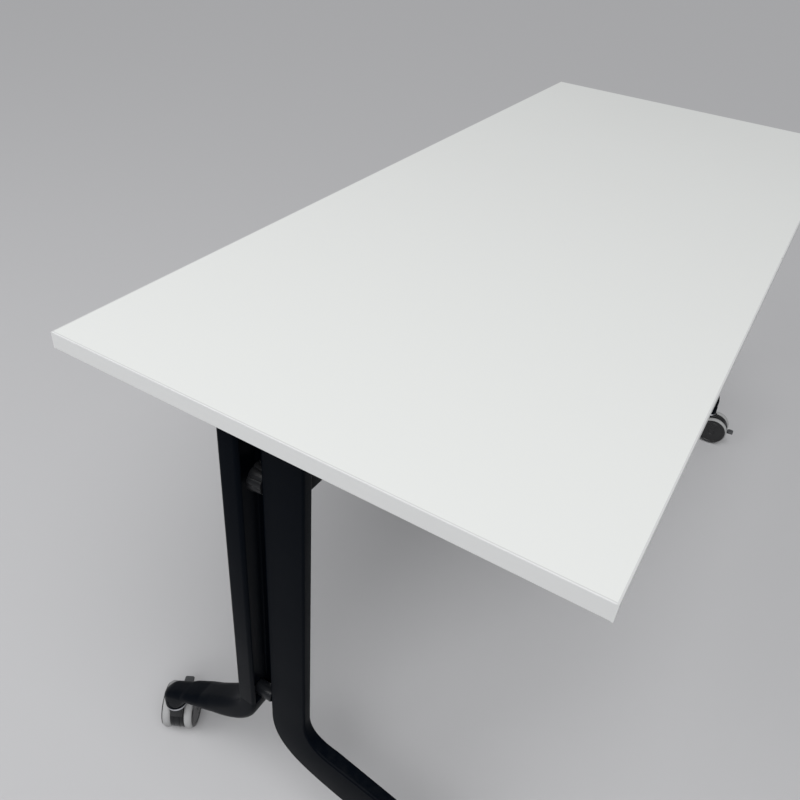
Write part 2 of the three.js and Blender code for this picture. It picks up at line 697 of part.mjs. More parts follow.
// The two ends of the table
for (const [end, side] of [['left', -1], ['right', 1]]) {
  const leg = new THREE.Group();
  leg.position.x = side * legX;
  table.add(leg);
  piece(`front_leg_${end}`, frontLegGeometry(-side), blackPowder, leg);
  piece(`rear_leg_${end}`, rearLegGeometry(side), blackPowder, leg);
  piece(`upper_spacer_${end}`, lobedSpacer().translate(-side * upperSpacerInset, 0, 0), blackPlastic, leg);
  piece(`lower_spacer_${end}`, bar(
    'y', lowerSpacerRadius, frontBack, rearFront + channelDepth, 0, lowerSpacerRise), blackPowder, leg);
  piece(`rest_bumper_${end}`, bar('z', bumperRadius, underside - frontLegDrop, underside - seatGap, 0,
    (frontFace + frontBack) / 2), greyRubber, leg);

  piece(`leg_head_${end}`, legHead(side), blackPowder);
  piece(`pivot_pin_${end}`,
    bar('x', pivotPinRadius, side * (earInner - pinEnd), side * lugOuter, pivotY, pivotZ), zincSteel);
  piece(`top_bracket_${end}`, topBracket(side), blackPowder);
  piece(`pivot_bush_${end}`, pivotBush(side), greyPlastic);
  const hookMiddle = (hookInner + hookOuter) / 2;
  const strikerZ = beamBottom + strikerRise;
  piece(`latch_striker_${end}`, block(
    side * (hookMiddle - strikerWidth / 2), side * (hookMiddle + strikerWidth / 2),
    beamFront - strikerDepth, beamFront, strikerZ, strikerZ + strikerHeight), zincSteel);
  piece(`latch_hook_${end}`, onLatchBar(hookOutline(), side * hookInner, side * hookOuter), zincSteel);
  const handleX = hookInner - handleInset;
  piece(`latch_handle_${end}`,
    onLatchBar(handleOutline(), side * handleX, side * (handleX - handleWidth)), blackPlastic);
}

// Casters, turned as they came to rest
caster('front_left', -legX, -frontReach, -80);
caster('rear_left', -legX - rearToeShift, rearReach, 29);
caster('front_right', legX, -frontReach, -86);
caster('rear_right', legX + rearToeShift, rearReach, 155);

// The origin is on the floor, under the middle of the whole table with its casters
const extent = new THREE.Box3().setFromObject(table, true);
table.position.y = -(extent.min.y + extent.max.y) / 2;

export default table;
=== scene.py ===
import json
import math

import bpy
import numpy as np
from mathutils import Matrix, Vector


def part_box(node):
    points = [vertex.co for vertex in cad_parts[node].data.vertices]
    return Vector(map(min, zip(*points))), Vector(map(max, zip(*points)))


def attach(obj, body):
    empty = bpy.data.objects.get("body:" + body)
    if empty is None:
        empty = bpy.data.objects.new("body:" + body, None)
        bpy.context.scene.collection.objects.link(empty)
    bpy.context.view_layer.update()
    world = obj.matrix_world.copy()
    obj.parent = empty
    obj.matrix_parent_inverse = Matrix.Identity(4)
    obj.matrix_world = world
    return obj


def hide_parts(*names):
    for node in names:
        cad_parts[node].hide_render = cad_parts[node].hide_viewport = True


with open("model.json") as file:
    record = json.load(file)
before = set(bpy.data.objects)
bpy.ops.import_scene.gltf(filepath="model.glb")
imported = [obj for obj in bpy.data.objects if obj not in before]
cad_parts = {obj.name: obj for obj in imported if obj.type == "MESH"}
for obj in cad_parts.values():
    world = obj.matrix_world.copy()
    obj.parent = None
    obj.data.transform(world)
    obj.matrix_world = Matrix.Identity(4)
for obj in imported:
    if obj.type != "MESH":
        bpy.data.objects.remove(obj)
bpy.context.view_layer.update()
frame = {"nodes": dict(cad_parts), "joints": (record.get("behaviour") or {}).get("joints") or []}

# Front legs: a thin upright blade at each end that bends forward into a foot and thins towards its toe.
# Each is an aluminium casting with a satin black powder coat, fixed to the leg head under the top.
# The cone below the toe is bored for the caster's stem.
MM = 0.001
ENDS = {"left": -1, "right": 1}
top_low, top_high = (np.array(corner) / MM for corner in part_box("tabletop_core"))
table_middle_y = (top_low[1] + top_high[1]) / 2
underside = top_low[2]
leg_x = sum(corner.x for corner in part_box("rear_leg_right")) / 2 / MM
front_face, front_back = 10, 64
front_top = underside - 12
front_blade = {"half": 7.6, "edge": 3.2, "shift": 0}
front_foot = {"half": 10.5, "edge": 3.5, "shift": 2}
front_toe = {"half": 8, "edge": 4, "shift": 0}
front_knee_inside, front_knee_outside = 202, 167
front_inside_run, front_outside_run = 43, 54
front_foot_fall, front_heel_fall = math.radians(11), math.radians(25.5)
front_reach, front_toe_reach, front_toe_height = 264, 13, 90
front_crown, front_crown_foot, front_crown_steps = 30, 12, 9
front_nose_turn, front_nose_steps = math.radians(84), 12
socket_height, socket_radius, socket_bevel = 77, 15, 1
front_socket_depth, front_socket_taper = 21, 3
# Steps of the socket's shoulder: how far each stands out from its neck, and its height over the socket's top
front_socket_shoulder = [(2, -5), (0, -2), (-3, 0)]


def bezier(corners, t):
    """Bezier curve: neighbouring control points are mixed in the ratio t until one is left for each t."""
    points = [np.outer(np.ones_like(t), corner) for corner in corners]
    while len(points) > 1:
        points = [a + (b - a) * t[:, None] for a, b in zip(points, points[1:])]
    return points[0]


def section_between(first, last, t):
    """Half width, edge rounding and sideways shift, mixed evenly between two sections."""
    keys = ("half", "edge", "shift")
    return np.stack([first[key] + (last[key] - first[key]) * t for key in keys], axis=1)


def bar_rings(near, far, section, edge_steps=6, most_round=0.9):
    """One ring for each pair of edge points in depth and height: a rectangle from near to far, as wide as
    the section says, with a quarter circle at each corner that takes up no more than 0.9 of a half side."""
    half, edge, shift = section.T[:, :, None]
    span = np.linalg.norm(far - near, axis=1)[:, None]
    along = (far - near) / span
    middle = (near + far) / 2
    radius = np.minimum(edge, most_round * np.minimum(half, span / 2))
    turn = (np.arange(4)[:, None] + np.linspace(0, 1, edge_steps + 1)).ravel() * math.pi / 2
    across_side = np.repeat([1, -1, -1, 1], edge_steps + 1)
    along_side = np.repeat([1, 1, -1, -1], edge_steps + 1)
    x = shift + across_side * (half - radius) + radius * np.cos(turn)
    s = along_side * (span / 2 - radius) + radius * np.sin(turn)
    return np.stack([x, middle[:, :1] + along[:, :1] * s, middle[:, 1:] + along[:, 1:] * s], axis=2)


def closed_skin(rings):
    """Rings of points joined by four-sided faces, with a flat cap on the first and the last ring. The faces
    are turned round where the skin's volume, the sum of its faces' cones from the origin, is negative."""
    count, around = rings.shape[:2]
    index = np.arange(count * around).reshape(count, around)
    after = np.roll(index, -1, axis=1)
    quads = np.stack([index[:-1], index[1:], after[1:], after[:-1]], axis=2).reshape(-1, 4)
    points = rings.reshape(-1, 3)
    a, b, c, d = points[quads].transpose(1, 0, 2)
    volume = np.einsum("ij,ij->", a, np.cross(b, c)) + np.einsum("ij,ij->", a, np.cross(c, d))
    for cap, sign in ((rings[0], -1), (rings[-1], 1)):
        corner, following = cap[1:], np.roll(cap, -1, axis=0)[1:]
        volume -= sign * np.einsum("ij,ij->", cap[:1] + 0 * corner, np.cross(corner, following))
    faces = [*quads.tolist(), index[0].tolist(), index[-1][::-1].tolist()]
    if volume < 0:
        faces = [face[::-1] for face in faces]
    return points, faces


def build(name, skins, material, body, nodes=(), crease=40):
    """Puts closed skins, given in millimetres, into one object that rides on a body, in place of CAD nodes.
    Edges sharper than the crease, in degrees, stay sharp."""
    points, faces, start = [], [], 0
    for skin_points, skin_faces in skins:
        points.append(skin_points * MM)
        faces += [[start + corner for corner in face] for face in skin_faces]
        start += len(skin_points)
    mesh = bpy.data.meshes.new(name)
    mesh.from_pydata(np.concatenate(points).tolist(), [], faces)
    mesh.polygons.foreach_set("use_smooth", np.ones(len(mesh.polygons), bool))
    mesh.set_sharp_from_angle(angle=math.radians(crease))
    mesh.materials.append(material)
    piece = bpy.data.objects.new(name, mesh)
    bpy.context.scene.collection.objects.link(piece)
    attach(piece, body)
    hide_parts(*nodes)


def turned(profile, facets=64, least_radius=0.5):
    """A turned solid about Z: each point of the profile, a radius and a height, becomes a ring of that
    radius. Ends on the axis keep a small ring, so that their caps are faces."""
    radius, height = np.array(profile, float).T[:, :, None]
    radius = np.maximum(radius, least_radius)
    turn = np.linspace(0, 2 * math.pi, facets, endpoint=False)
    return closed_skin(np.stack([radius * np.cos(turn), radius * np.sin(turn), height + 0 * turn], axis=2))


def moved(skin, offset):
    """The same skin in another place."""
    return skin[0] + np.array(offset, float), skin[1]


# Fine grain and slow patches, shared by every coated, moulded or plated finish
grain_height = 0.4 * MM
patch_low, patch_high = 0.3, 0.7
grain = bpy.data.node_groups.new("fine_grain", "ShaderNodeTree")
grain.interface.new_socket("Grain Scale", in_out="INPUT", socket_type="NodeSocketFloat")
grain.interface.new_socket("Patch Scale", in_out="INPUT", socket_type="NodeSocketFloat")
grain.interface.new_socket("Grain", in_out="OUTPUT", socket_type="NodeSocketFloat")
grain.interface.new_socket("Patches", in_out="OUTPUT", socket_type="NodeSocketFloat")
grain_in = grain.nodes.new("NodeGroupInput")
grain_out = grain.nodes.new("NodeGroupOutput")
grain_place = grain.nodes.new("ShaderNodeTexCoord")
for result, scale, detail in (("Grain", "Grain Scale", 3), ("Patches", "Patch Scale", 5)):
    noise = grain.nodes.new("ShaderNodeTexNoise")
    noise.inputs["Detail"].default_value = detail
    grain.links.new(grain_place.outputs["Object"], noise.inputs["Vector"])
    grain.links.new(grain_in.outputs[scale], noise.inputs["Scale"])
    grain.links.new(noise.outputs["Fac"], grain_out.inputs[result])

# Dust that has settled in patches on what faces up
dust_colour = (0.42, 0.41, 0.39)
dust_scale, dust_detail = 70, 8
dust_least_up, dust_spot_low, dust_spot_high = 0.55, 0.42, 0.75
dust = bpy.data.node_groups.new("settled_dust", "ShaderNodeTree")
dust.interface.new_socket("Dust", in_out="OUTPUT", socket_type="NodeSocketFloat")
dust_out = dust.nodes.new("NodeGroupOutput")
dust_place = dust.nodes.new("ShaderNodeTexCoord")
dust_normal = dust.nodes.new("ShaderNodeNewGeometry")
dust_split = dust.nodes.new("ShaderNodeSeparateXYZ")
dust_up = dust.nodes.new("ShaderNodeMapRange")
dust_up.inputs["From Min"].default_value = dust_least_up
dust_up.inputs["From Max"].default_value = 1.0
dust_noise = dust.nodes.new("ShaderNodeTexNoise")
dust_noise.inputs["Scale"].default_value = dust_scale
dust_noise.inputs["Detail"].default_value = dust_detail
dust_spots = dust.nodes.new("ShaderNodeMapRange")
dust_spots.inputs["From Min"].default_value = dust_spot_low
dust_spots.inputs["From Max"].default_value = dust_spot_high
dust_both = dust.nodes.new("ShaderNodeMath")
dust_both.operation = "MULTIPLY"
dust.links.new(dust_normal.outputs["Normal"], dust_split.inputs[0])
dust.links.new(dust_split.outputs["Z"], dust_up.inputs["Value"])
dust.links.new(dust_place.outputs["Object"], dust_noise.inputs["Vector"])
dust.links.new(dust_noise.outputs["Fac"], dust_spots.inputs["Value"])
dust.links.new(dust_up.outputs["Result"], dust_both.inputs[0])
dust.links.new(dust_spots.outputs["Result"], dust_both.inputs[1])
dust.links.new(dust_both.outputs[0], dust_out.inputs["Dust"])


def coated(name, colour, worn_colour, rough, grain_scale, bump, patch_scale=9, dusty=0.0, metal=0.0,
           sheen=0.5):
    """A finish whose colour and roughness drift with slow patches, with a fine grain as relief: colour goes
    from the first to the second over the patches, roughness from the first to the second value."""
    material = bpy.data.materials.new(name)
    material.use_nodes = True
    nodes, links = material.node_tree.nodes, material.node_tree.links
    shader = nodes["Principled BSDF"]
    shader.inputs["Metallic"].default_value = metal
    shader.inputs["Specular IOR Level"].default_value = sheen
    surface = nodes.new("ShaderNodeGroup")
    surface.node_tree = grain
    surface.inputs["Grain Scale"].default_value = grain_scale
    surface.inputs["Patch Scale"].default_value = patch_scale
    tint = nodes.new("ShaderNodeMix")
    tint.data_type = "RGBA"
    tint.inputs["A"].default_value = (*colour, 1)
    tint.inputs["B"].default_value = (*worn_colour, 1)
    links.new(surface.outputs["Patches"], tint.inputs["Factor"])
    shown = tint.outputs["Result"]
    if dusty:
        settled = nodes.new("ShaderNodeGroup")
        settled.node_tree = dust
        share = nodes.new("ShaderNodeMath")
        share.operation = "MULTIPLY"
        share.inputs[1].default_value = dusty
        powder = nodes.new("ShaderNodeMix")
        powder.data_type = "RGBA"
        powder.inputs["B"].default_value = (*dust_colour, 1)
        links.new(settled.outputs["Dust"], share.inputs[0])
        links.new(share.outputs[0], powder.inputs["Factor"])
        links.new(shown, powder.inputs["A"])
        shown = powder.outputs["Result"]
    links.new(shown, shader.inputs["Base Color"])
    gloss = nodes.new("ShaderNodeMapRange")
    gloss.inputs["From Min"].default_value = patch_low
    gloss.inputs["From Max"].default_value = patch_high
    gloss.inputs["To Min"].default_value, gloss.inputs["To Max"].default_value = rough
    links.new(surface.outputs["Patches"], gloss.inputs["Value"])
    links.new(gloss.outputs["Result"], shader.inputs["Roughness"])
    relief = nodes.new("ShaderNodeBump")
    relief.inputs["Strength"].default_value = bump
    relief.inputs["Distance"].default_value = grain_height
    links.new(surface.outputs["Grain"], relief.inputs["Height"])
    links.new(relief.outputs["Normal"], shader.inputs["Normal"])
    return material


black_powder_coat = coated(
    "black_powder_coat", (0.0010, 0.0020, 0.0040), (0.0018, 0.0029, 0.0050), (0.30, 0.40), 1400, 0.22,
    dusty=0.008, sheen=0.025)


def front_leg_rings(inward):
    """The blade goes straight down, bends along two Bezier curves, and runs on as a foot whose upper edge is
    a straight line and then a quarter ellipse over the toe. Its lower edge runs out into the socket."""
    toe_end = -front_reach - front_toe_reach
    crown_start = -front_reach + front_crown
    crown_foot = front_toe_height + front_crown_foot

    def upper(y):
        line = front_knee_inside - (front_face - np.maximum(y, crown_start)) * math.tan(front_foot_fall)
        fall = np.clip((crown_start - y) / (crown_start - toe_end), 0, 1)
        return crown_foot + (line - crown_foot) * np.sqrt(1 - fall ** 2)

    bend_upper_y = front_face - front_inside_run * math.cos(front_foot_fall)
    bend_upper = (bend_upper_y, upper(np.array(bend_upper_y)))
    bend_lower = (front_back - front_outside_run * math.cos(front_heel_fall),
                  front_knee_outside - front_outside_run * math.sin(front_heel_fall))
    lower_fall = (bend_lower[1] - front_toe_height) / (bend_lower[0] - toe_end) / 2

    def lower(y):
        return front_toe_height + (y - toe_end) * lower_fall

    heel_fall = math.tan(front_heel_fall) - lower_fall
    heel_y = bend_lower[0] - (bend_lower[1] - lower(bend_lower[0])) / heel_fall
    knee_near = (front_face, front_knee_inside + front_inside_run)
    knee_far = (front_back, front_knee_outside + front_outside_run)
    straight, bend, run = (np.linspace(0, 1, steps, endpoint=False) for steps in (5, 40, 30))
    nose = np.linspace(0, front_nose_turn, front_nose_steps)
    crown_y = np.linspace(crown_start, -front_reach, front_crown_steps, endpoint=False)
    toe_y = np.concatenate([crown_y, -front_reach - front_toe_reach * np.sin(nose)])
    nose_share = np.concatenate([np.ones(front_crown_steps), np.cos(nose)])
    near = np.concatenate([
        bezier([(front_face, front_top), knee_near], straight),
        bezier([knee_near, (front_face, front_knee_inside), bend_upper], bend),
        bezier([bend_upper, (crown_start, upper(np.array(crown_start)))], run),
        np.stack([toe_y, upper(toe_y)], axis=1)])
    far = np.concatenate([
        bezier([(front_back, front_top), knee_far], straight),
        bezier([knee_far, (front_back, front_knee_outside), bend_lower], bend),
        bezier([bend_lower, (heel_y, lower(heel_y)), (crown_start, lower(crown_start))], run),
        np.stack([toe_y, lower(toe_y)], axis=1)])
    toe = section_between(front_toe, front_toe, nose_share)
    toe[:, 0] *= nose_share
    section = np.concatenate([
        section_between(front_blade, front_blade, straight), section_between(front_blade, front_foot, bend),
        section_between(front_foot, front_toe, run), toe])
    section[:, 2] *= inward
    return bar_rings(near, far, section)


socket_neck = socket_radius - front_socket_taper
socket_top = socket_height + front_socket_depth
front_socket = turned([
    (0, socket_height), (socket_radius - socket_bevel, socket_height),
    (socket_radius, socket_height + socket_bevel),
    *[(socket_neck + out, socket_top + up) for out, up in front_socket_shoulder], (0, socket_top)])
for end, side in ENDS.items():
    leg_place = (side * leg_x, table_middle_y, 0)
    build(f"front_leg_casting_{end}", [
        moved(closed_skin(front_leg_rings(-side)), leg_place),
        moved(moved(front_socket, (0, -front_reach, 0)), leg_place)],
        black_powder_coat, "base", [f"front_leg_{end}"])

# Rear legs: a broader, shallower upright behind each blade, open to the front as a channel, that curves
# back. Cast and coated as the front legs are. The foot is solid and narrows on its inner side to a domed
# toe, whose cup is bored for a caster.
rear_front, rear_back = 81, 108
rear_top = underside - 20
rear_upright = {"half": 22, "edge": 5, "shift": 0}
rear_foot = {"half": 21.2, "edge": 16, "shift": 0}
rear_toe = {"half": 16, "edge": 9, "shift": 6}
channel_half, channel_depth, channel_fillet = 17, 10, 3
channel_foot, channel_sink, channel_edge = 243, 0.7, 1
channel_lip, channel_lip_turn = 1, 84
rear_reach, rear_arch = 257, 67
rear_knee_inside, rear_inside_run, rear_inside_lag = 229.5, 25, 5
rear_foot_fall, rear_arch_fall = math.radians(40.4), math.radians(21)
rear_heel_handle = 192
rear_arch_height, rear_arch_run = 130.5, 65
rear_toe_height, rear_toe_depth = 104, 9
rear_bend_steps, rear_run_steps = 48, 48
rear_nose_turn, rear_nose_steps = math.radians(86), 16
dome_rise, dome_tip, dome_root = 3, 96, 80
# The stretch of the foot, as shares of its run, over which its lower edge steps down into the cup
cup_start, cup_span = 0.42, 0.48
cup_radius, cup_bevel = rear_toe["half"] + 0.1, 1
cup_side, cup_top = dome_root + 15, dome_root + 18


def arc(centre, radius, first, last, steps=24):
    """Points round a centre from the first angle to the last, in degrees."""
    turn = np.radians(np.linspace(first, last, steps))
    return np.stack([centre[0] + radius * np.cos(turn), centre[1] + radius * np.sin(turn)], axis=1)


def plate(outline, low, high, edge, axis, curl_steps=4, sharpest=0.3):
    """An outline carried from one face to the other along an axis. Towards each face it is drawn in, along
    the mean of its neighbouring sides' normals, by a quarter circle."""
    outline = np.array(outline, float)
    side = np.roll(outline, -1, axis=0) - outline
    side /= np.linalg.norm(side, axis=1)[:, None]
    normal = np.stack([side[:, 1], -side[:, 0]], axis=1)
    mean = normal + np.roll(normal, 1, axis=0)
    mean /= np.maximum(np.einsum("ij,ij->i", mean, mean) / 2, sharpest)[:, None]
    area = np.einsum("i,i->", outline[:, 0], np.roll(outline[:, 1], -1) - np.roll(outline[:, 1], 1)) / 2
    curl = np.linspace(0, math.pi / 2, curl_steps)
    inset = edge * np.concatenate([1 - np.sin(curl), 1 - np.sin(curl[::-1])])
    height = np.concatenate([low + edge * (1 - np.cos(curl)), high - edge * (1 - np.cos(curl[::-1]))])
    drawn = outline - math.copysign(1, area) * inset[:, None, None] * mean
    along = height[:, None] + 0 * drawn[:, :, 0]
    order = {"x": (along, drawn[:, :, 0], drawn[:, :, 1]), "y": (drawn[:, :, 0], along, drawn[:, :, 1]),
             "z": (drawn[:, :, 0], drawn[:, :, 1], along)}
    return closed_skin(np.stack(order[axis], axis=2))


def smooth_step(t):
    """Rises from 0 to 1 as t does, level at both ends: three times the square less twice the cube."""
    t = np.clip(t, 0, 1)
    return t ** 2 * (3 - 2 * t)


def rear_leg_rings(outward):
    """The two edges leave the upright along cubic Bezier curves and run on towards the toe as straight
    lines. A smooth step takes the lower one down into the toe's cup. The nose is a half circle in plan, and
    its upper edge carries on with the line's slope while it falls to the tip as one minus a cosine."""
    def upper(y):
        return rear_knee_inside - (y - rear_back) * math.tan(rear_foot_fall)

    arch_y = rear_reach - rear_arch
    inside_y = arch_y + rear_inside_lag
    inside_middle = (rear_back + inside_y) / 2
    heel_end, inside_end = (arch_y, rear_arch_height), (inside_y, upper(inside_y))
    arch_handle = (arch_y - rear_arch_run * math.cos(rear_arch_fall),
                   rear_arch_height + rear_arch_run * math.sin(rear_arch_fall))
    toe_top = rear_toe_height + rear_toe_depth + dome_rise
    toe_fall = (inside_end[1] - toe_top) / (rear_reach - inside_y)
    bend = np.linspace(0, 1, rear_bend_steps, endpoint=False)
    run = np.linspace(0, 1, rear_run_steps, endpoint=False)
    nose = np.linspace(0, rear_nose_turn, rear_nose_steps)
    nose_run = rear_toe["half"] * np.sin(nose)
    nose_drop = toe_top - toe_fall * rear_toe["half"] - dome_tip
    nose_top = toe_top - toe_fall * nose_run - nose_drop * (1 - np.cos(nose))
    lower_run = bezier([heel_end, (rear_reach, rear_toe_height)], run)
    lower_run[:, 1] += (dome_root - lower_run[:, 1]) * smooth_step((run - cup_start) / cup_span)
    near = np.concatenate([
        bezier([(rear_front, channel_foot), (rear_front, rear_heel_handle), arch_handle, heel_end], bend),
        lower_run, np.stack([rear_reach + nose_run, 0 * nose + dome_root], axis=1)])
    far = np.concatenate([
        bezier([(rear_back, channel_foot), (rear_back, rear_knee_inside - rear_inside_run / 2),
                (inside_middle, upper(inside_middle)), inside_end], bend),
        bezier([inside_end, (rear_reach, toe_top)], run),
        np.stack([rear_reach + nose_run, nose_top], axis=1)])
    nose_section = section_between(rear_toe, rear_toe, nose)
    nose_section[:, 0] *= np.cos(nose)
    section = np.concatenate([
        section_between(rear_upright, rear_foot, bend), section_between(rear_foot, rear_toe, run),
        nose_section])
    section[:, 2] *= outward
    return bar_rings(near, far, section)


rear_core, rear_edge = rear_upright["half"] - rear_upright["edge"], rear_upright["edge"]
channel_core, channel_floor = channel_half - channel_fillet, rear_front + channel_depth - channel_fillet
channel_outline = np.concatenate([
    arc((rear_core, rear_front + rear_edge), rear_edge, -channel_lip_turn, 0, 9),
    arc((rear_core, rear_back - rear_edge), rear_edge, 0, 90, 9),
    arc((-rear_core, rear_back - rear_edge), rear_edge, 90, 180, 9),
    arc((-rear_core, rear_front + rear_edge), rear_edge, 180, 180 + channel_lip_turn, 9),
    [(-channel_half, rear_front + channel_lip)],
    arc((-channel_core, channel_floor), channel_fillet, 180, 90, 7),
    arc((channel_core, channel_floor), channel_fillet, 90, 0, 7),
    [(channel_half, rear_front + channel_lip)]])
cup = turned([
    (0, socket_height), (cup_radius - cup_bevel, socket_height), (cup_radius, socket_height + cup_bevel),
    (cup_radius, cup_side), (cup_radius - cup_bevel, cup_top), (0, cup_top)])
for end, side in ENDS.items():
    leg_place = (side * leg_x, table_middle_y, 0)
    build(f"rear_leg_casting_{end}", [
        moved(plate(channel_outline, channel_foot - channel_sink, rear_top, channel_edge, "z"), leg_place),
        moved(closed_skin(rear_leg_rings(side)), leg_place),
        moved(moved(cup, (side * rear_toe["shift"], rear_reach, 0)), leg_place)],
        black_powder_coat, "base", [f"rear_leg_{end}"])

# Spacers: a lobed boss near the top and a plain rod above the bend hold the two uprights of an end apart.
# The boss is moulded nylon, with broad lobes and narrow grooves along it. The rod is turned, painted black,
# and goes on into the rear upright's channel.
boss_inset, boss_drop = 6.5, 96.5
boss_radius, boss_taper, boss_lobes, boss_groove, boss_turn = 18.5, 2.3, 10, 1.7, math.radians(22)
boss_near_edge, boss_far_edge = 0.4, 1.4
rod_radius, rod_height = 10, 255
black_nylon = coated(
    "black_nylon", (0.006, 0.0065, 0.008), (0.010, 0.0105, 0.012), (0.26, 0.36), 900, 0.12, dusty=0.03,
    sheen=0.25)
black_rod_paint = coated(
    "black_rod_paint", (0.006, 0.007, 0.009), (0.009, 0.010, 0.012), (0.24, 0.34), 1200, 0.12, sheen=0.3)


def lobed_boss(lobe_steps=24, lobe_power=0.4, curl_steps=5):
    """Rings along Y: the radius drops by the groove's depth times one minus a root of the size of a cosine
    that swings once for every two lobes, so that the lobes are broad and the grooves narrow. It tapers
    evenly towards the blade, and each end draws in by a quarter circle."""
    turn = boss_turn + np.linspace(0, 2 * math.pi, boss_lobes * lobe_steps, endpoint=False)
    lobe = np.abs(np.cos(boss_lobes * (turn - boss_turn) / 2)) ** lobe_power
    radius = boss_radius - boss_groove * (1 - lobe)
    curl = np.linspace(0, math.pi / 2, curl_steps)
    back_curl = curl[::-1]
    inset = np.concatenate([boss_near_edge * (1 - np.sin(curl)), boss_far_edge * (1 - np.sin(back_curl))])
    y = np.concatenate([
        front_back + boss_near_edge * (1 - np.cos(curl)),
        rear_front - boss_far_edge * (1 - np.cos(back_curl))])
    taper = boss_taper * (rear_front - y) / (rear_front - front_back)
    ring_radius = radius - (inset + taper)[:, None]
    return closed_skin(np.stack([
        ring_radius * np.cos(turn), y[:, None] + 0 * ring_radius, ring_radius * np.sin(turn)], axis=2))


def bevelled_rod(radius, low, high, facets=64, bevel=1):
    """A round rod along Z, bevelled at both ends."""
    return turned([
        (0, low), (radius - bevel, low), (radius, low + bevel), (radius, high - bevel),
        (radius - bevel, high), (0, high)], facets)


def facing(skin, axis, sign):
    """The same skin with its Z axis turned to point along another axis, forwards or backwards."""
    points, faces = skin
    x, y, z = points.T
    turned_points = {
        "x": (sign * z, y, -sign * x), "y": (x, sign * z, -sign * y), "z": (x, sign * y, sign * z)}
    return np.stack(turned_points[axis], axis=1), faces


lower_rod = facing(bevelled_rod(rod_radius, front_back, rear_front + channel_depth), "y", 1)
for end, side in ENDS.items():
    boss_place = (side * (leg_x - boss_inset), table_middle_y, underside - boss_drop)
    build(f"lobed_boss_{end}", [moved(lobed_boss(), boss_place)], black_nylon, "base",
          [f"upper_spacer_{end}"], crease=50)
    build(f"lower_rod_{end}", [moved(lower_rod, (side * leg_x, table_middle_y, rod_height))],
          black_rod_paint, "base", [f"lower_spacer_{end}"])

# Rest bumpers: a soft grey pad on top of each front leg that the lowered top lies on.
# Moulded rubber with a rounded head, glued to the casting.
bumper_radius, bumper_edge, bumper_round = 6, 2, 0.6
bumper_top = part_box("rest_bumper_left")[1].z / MM
bumper_y = table_middle_y + (front_face + front_back) / 2
grey_rubber = coated(
    "grey_rubber", (0.40, 0.41, 0.42), (0.31, 0.32, 0.33), (0.62, 0.8), 600, 0.25, patch_scale=30)
bumper = turned([
    (0, front_top), (bumper_radius, front_top), (bumper_radius, bumper_top - bumper_edge),
    (bumper_radius - bumper_round, bumper_top - bumper_round), (bumper_radius - bumper_edge, bumper_top),
    (0, bumper_top)], 32)
for end, side in ENDS.items():
    build(f"bumper_pad_{end}", [moved(bumper, (side * leg_x, bumper_y, 0))],
          grey_rubber, "base", [f"rest_bumper_{end}"])

# Cross beam: a rectangular steel tube between the two leg heads, with rolled corners.
# Powder coated steel, a little glossier than the castings, with its ends held in the heads.
beam_low, beam_high = (np.array(corner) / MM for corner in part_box("cross_beam"))
beam_corner, beam_steps = 4, 9
black_steel_coat = coated(
    "black_steel_coat", (0.005, 0.006, 0.009), (0.008, 0.009, 0.012), (0.32, 0.42), 1200, 0.2, dusty=0.04,
    sheen=0.25)
beam_stations = np.linspace(beam_low[0], beam_high[0], beam_steps)
beam_middle, beam_half = (beam_low + beam_high) / 2, (beam_high - beam_low) / 2
beam_ring = bar_rings(
    np.array([[beam_middle[1], beam_low[2]]]), np.array([[beam_middle[1], beam_high[2]]]),
    np.array([[beam_half[1], beam_corner, 0.0]]))[0]
# The ring stands across the table, so its width is turned from X into Y
beam_rings = np.stack([
    beam_stations[:, None] + 0 * beam_ring[:, 0],
    beam_middle[1] + beam_ring[:, 0] + 0 * beam_stations[:, None],
    beam_ring[:, 2] + 0 * beam_stations[:, None]], axis=2)
build("beam_tube", [closed_skin(beam_rings)], black_steel_coat, "base", ["cross_beam"])

# Leg heads: a block on each front leg's inner face that takes the end of the beam, with an arm to the tilt
# pin. Cast aluminium, coated with the leg and bolted to it from the inner side.
joint_of = {joint["name"]: joint for joint in frame["joints"]}
pivot_y, pivot_z = (value / MM for value in joint_of["top_flip"]["pos_m"][1:])
head_gap, head_corner, head_edge = 0.3, 3, 1.5
head_outer = leg_x - front_blade["half"]
head_lug_outer = leg_x - rear_upright["half"] - head_gap
head_inner = beam_high[0]
lug_radius = 20


def rounded_corners(corners, radius, steps=5):
    """Each corner of a closed outline is replaced by a quadratic curve that starts and ends one radius away
    from it, or a third of the side where that is shorter."""
    corners = np.array(corners, float)
    before, after = np.roll(corners, 1, axis=0) - corners, np.roll(corners, -1, axis=0) - corners
    t = np.linspace(0, 1, steps)[None, :, None]
    reach = [
        np.minimum(radius / np.linalg.norm(side, axis=1), 1 / 3)[:, None] * side for side in (before, after)]
    start, stop = ((corners + r)[:, None, :] for r in reach)
    return ((1 - t) ** 2 * start + 2 * t * (1 - t) * corners[:, None, :] + t ** 2 * stop).reshape(-1, 2)


def rectangle(u0, u1, v0, v1, radius):
    """A rectangle with rounded corners."""
    return rounded_corners([(u0, v0), (u1, v0), (u1, v1), (u0, v1)], radius)


head_block = rectangle(beam_low[1], beam_high[1], beam_low[2], pivot_z, head_corner)
head_arm = np.concatenate([
    [(beam_low[1], pivot_z - lug_radius)], arc((pivot_y, pivot_z), lug_radius, -90, 180, 48),
    [(beam_low[1], pivot_z)]])
for end, side in ENDS.items():
    inner, outer, lug_outer = side * head_inner, side * head_outer, side * head_lug_outer
    build(f"head_casting_{end}", [
        plate(head_block, min(inner, outer), max(inner, outer), head_edge, "x"),
        plate(head_arm, min(inner, lug_outer), max(inner, lug_outer), head_edge, "x")],
        black_powder_coat, "base", [f"leg_head_{end}"])

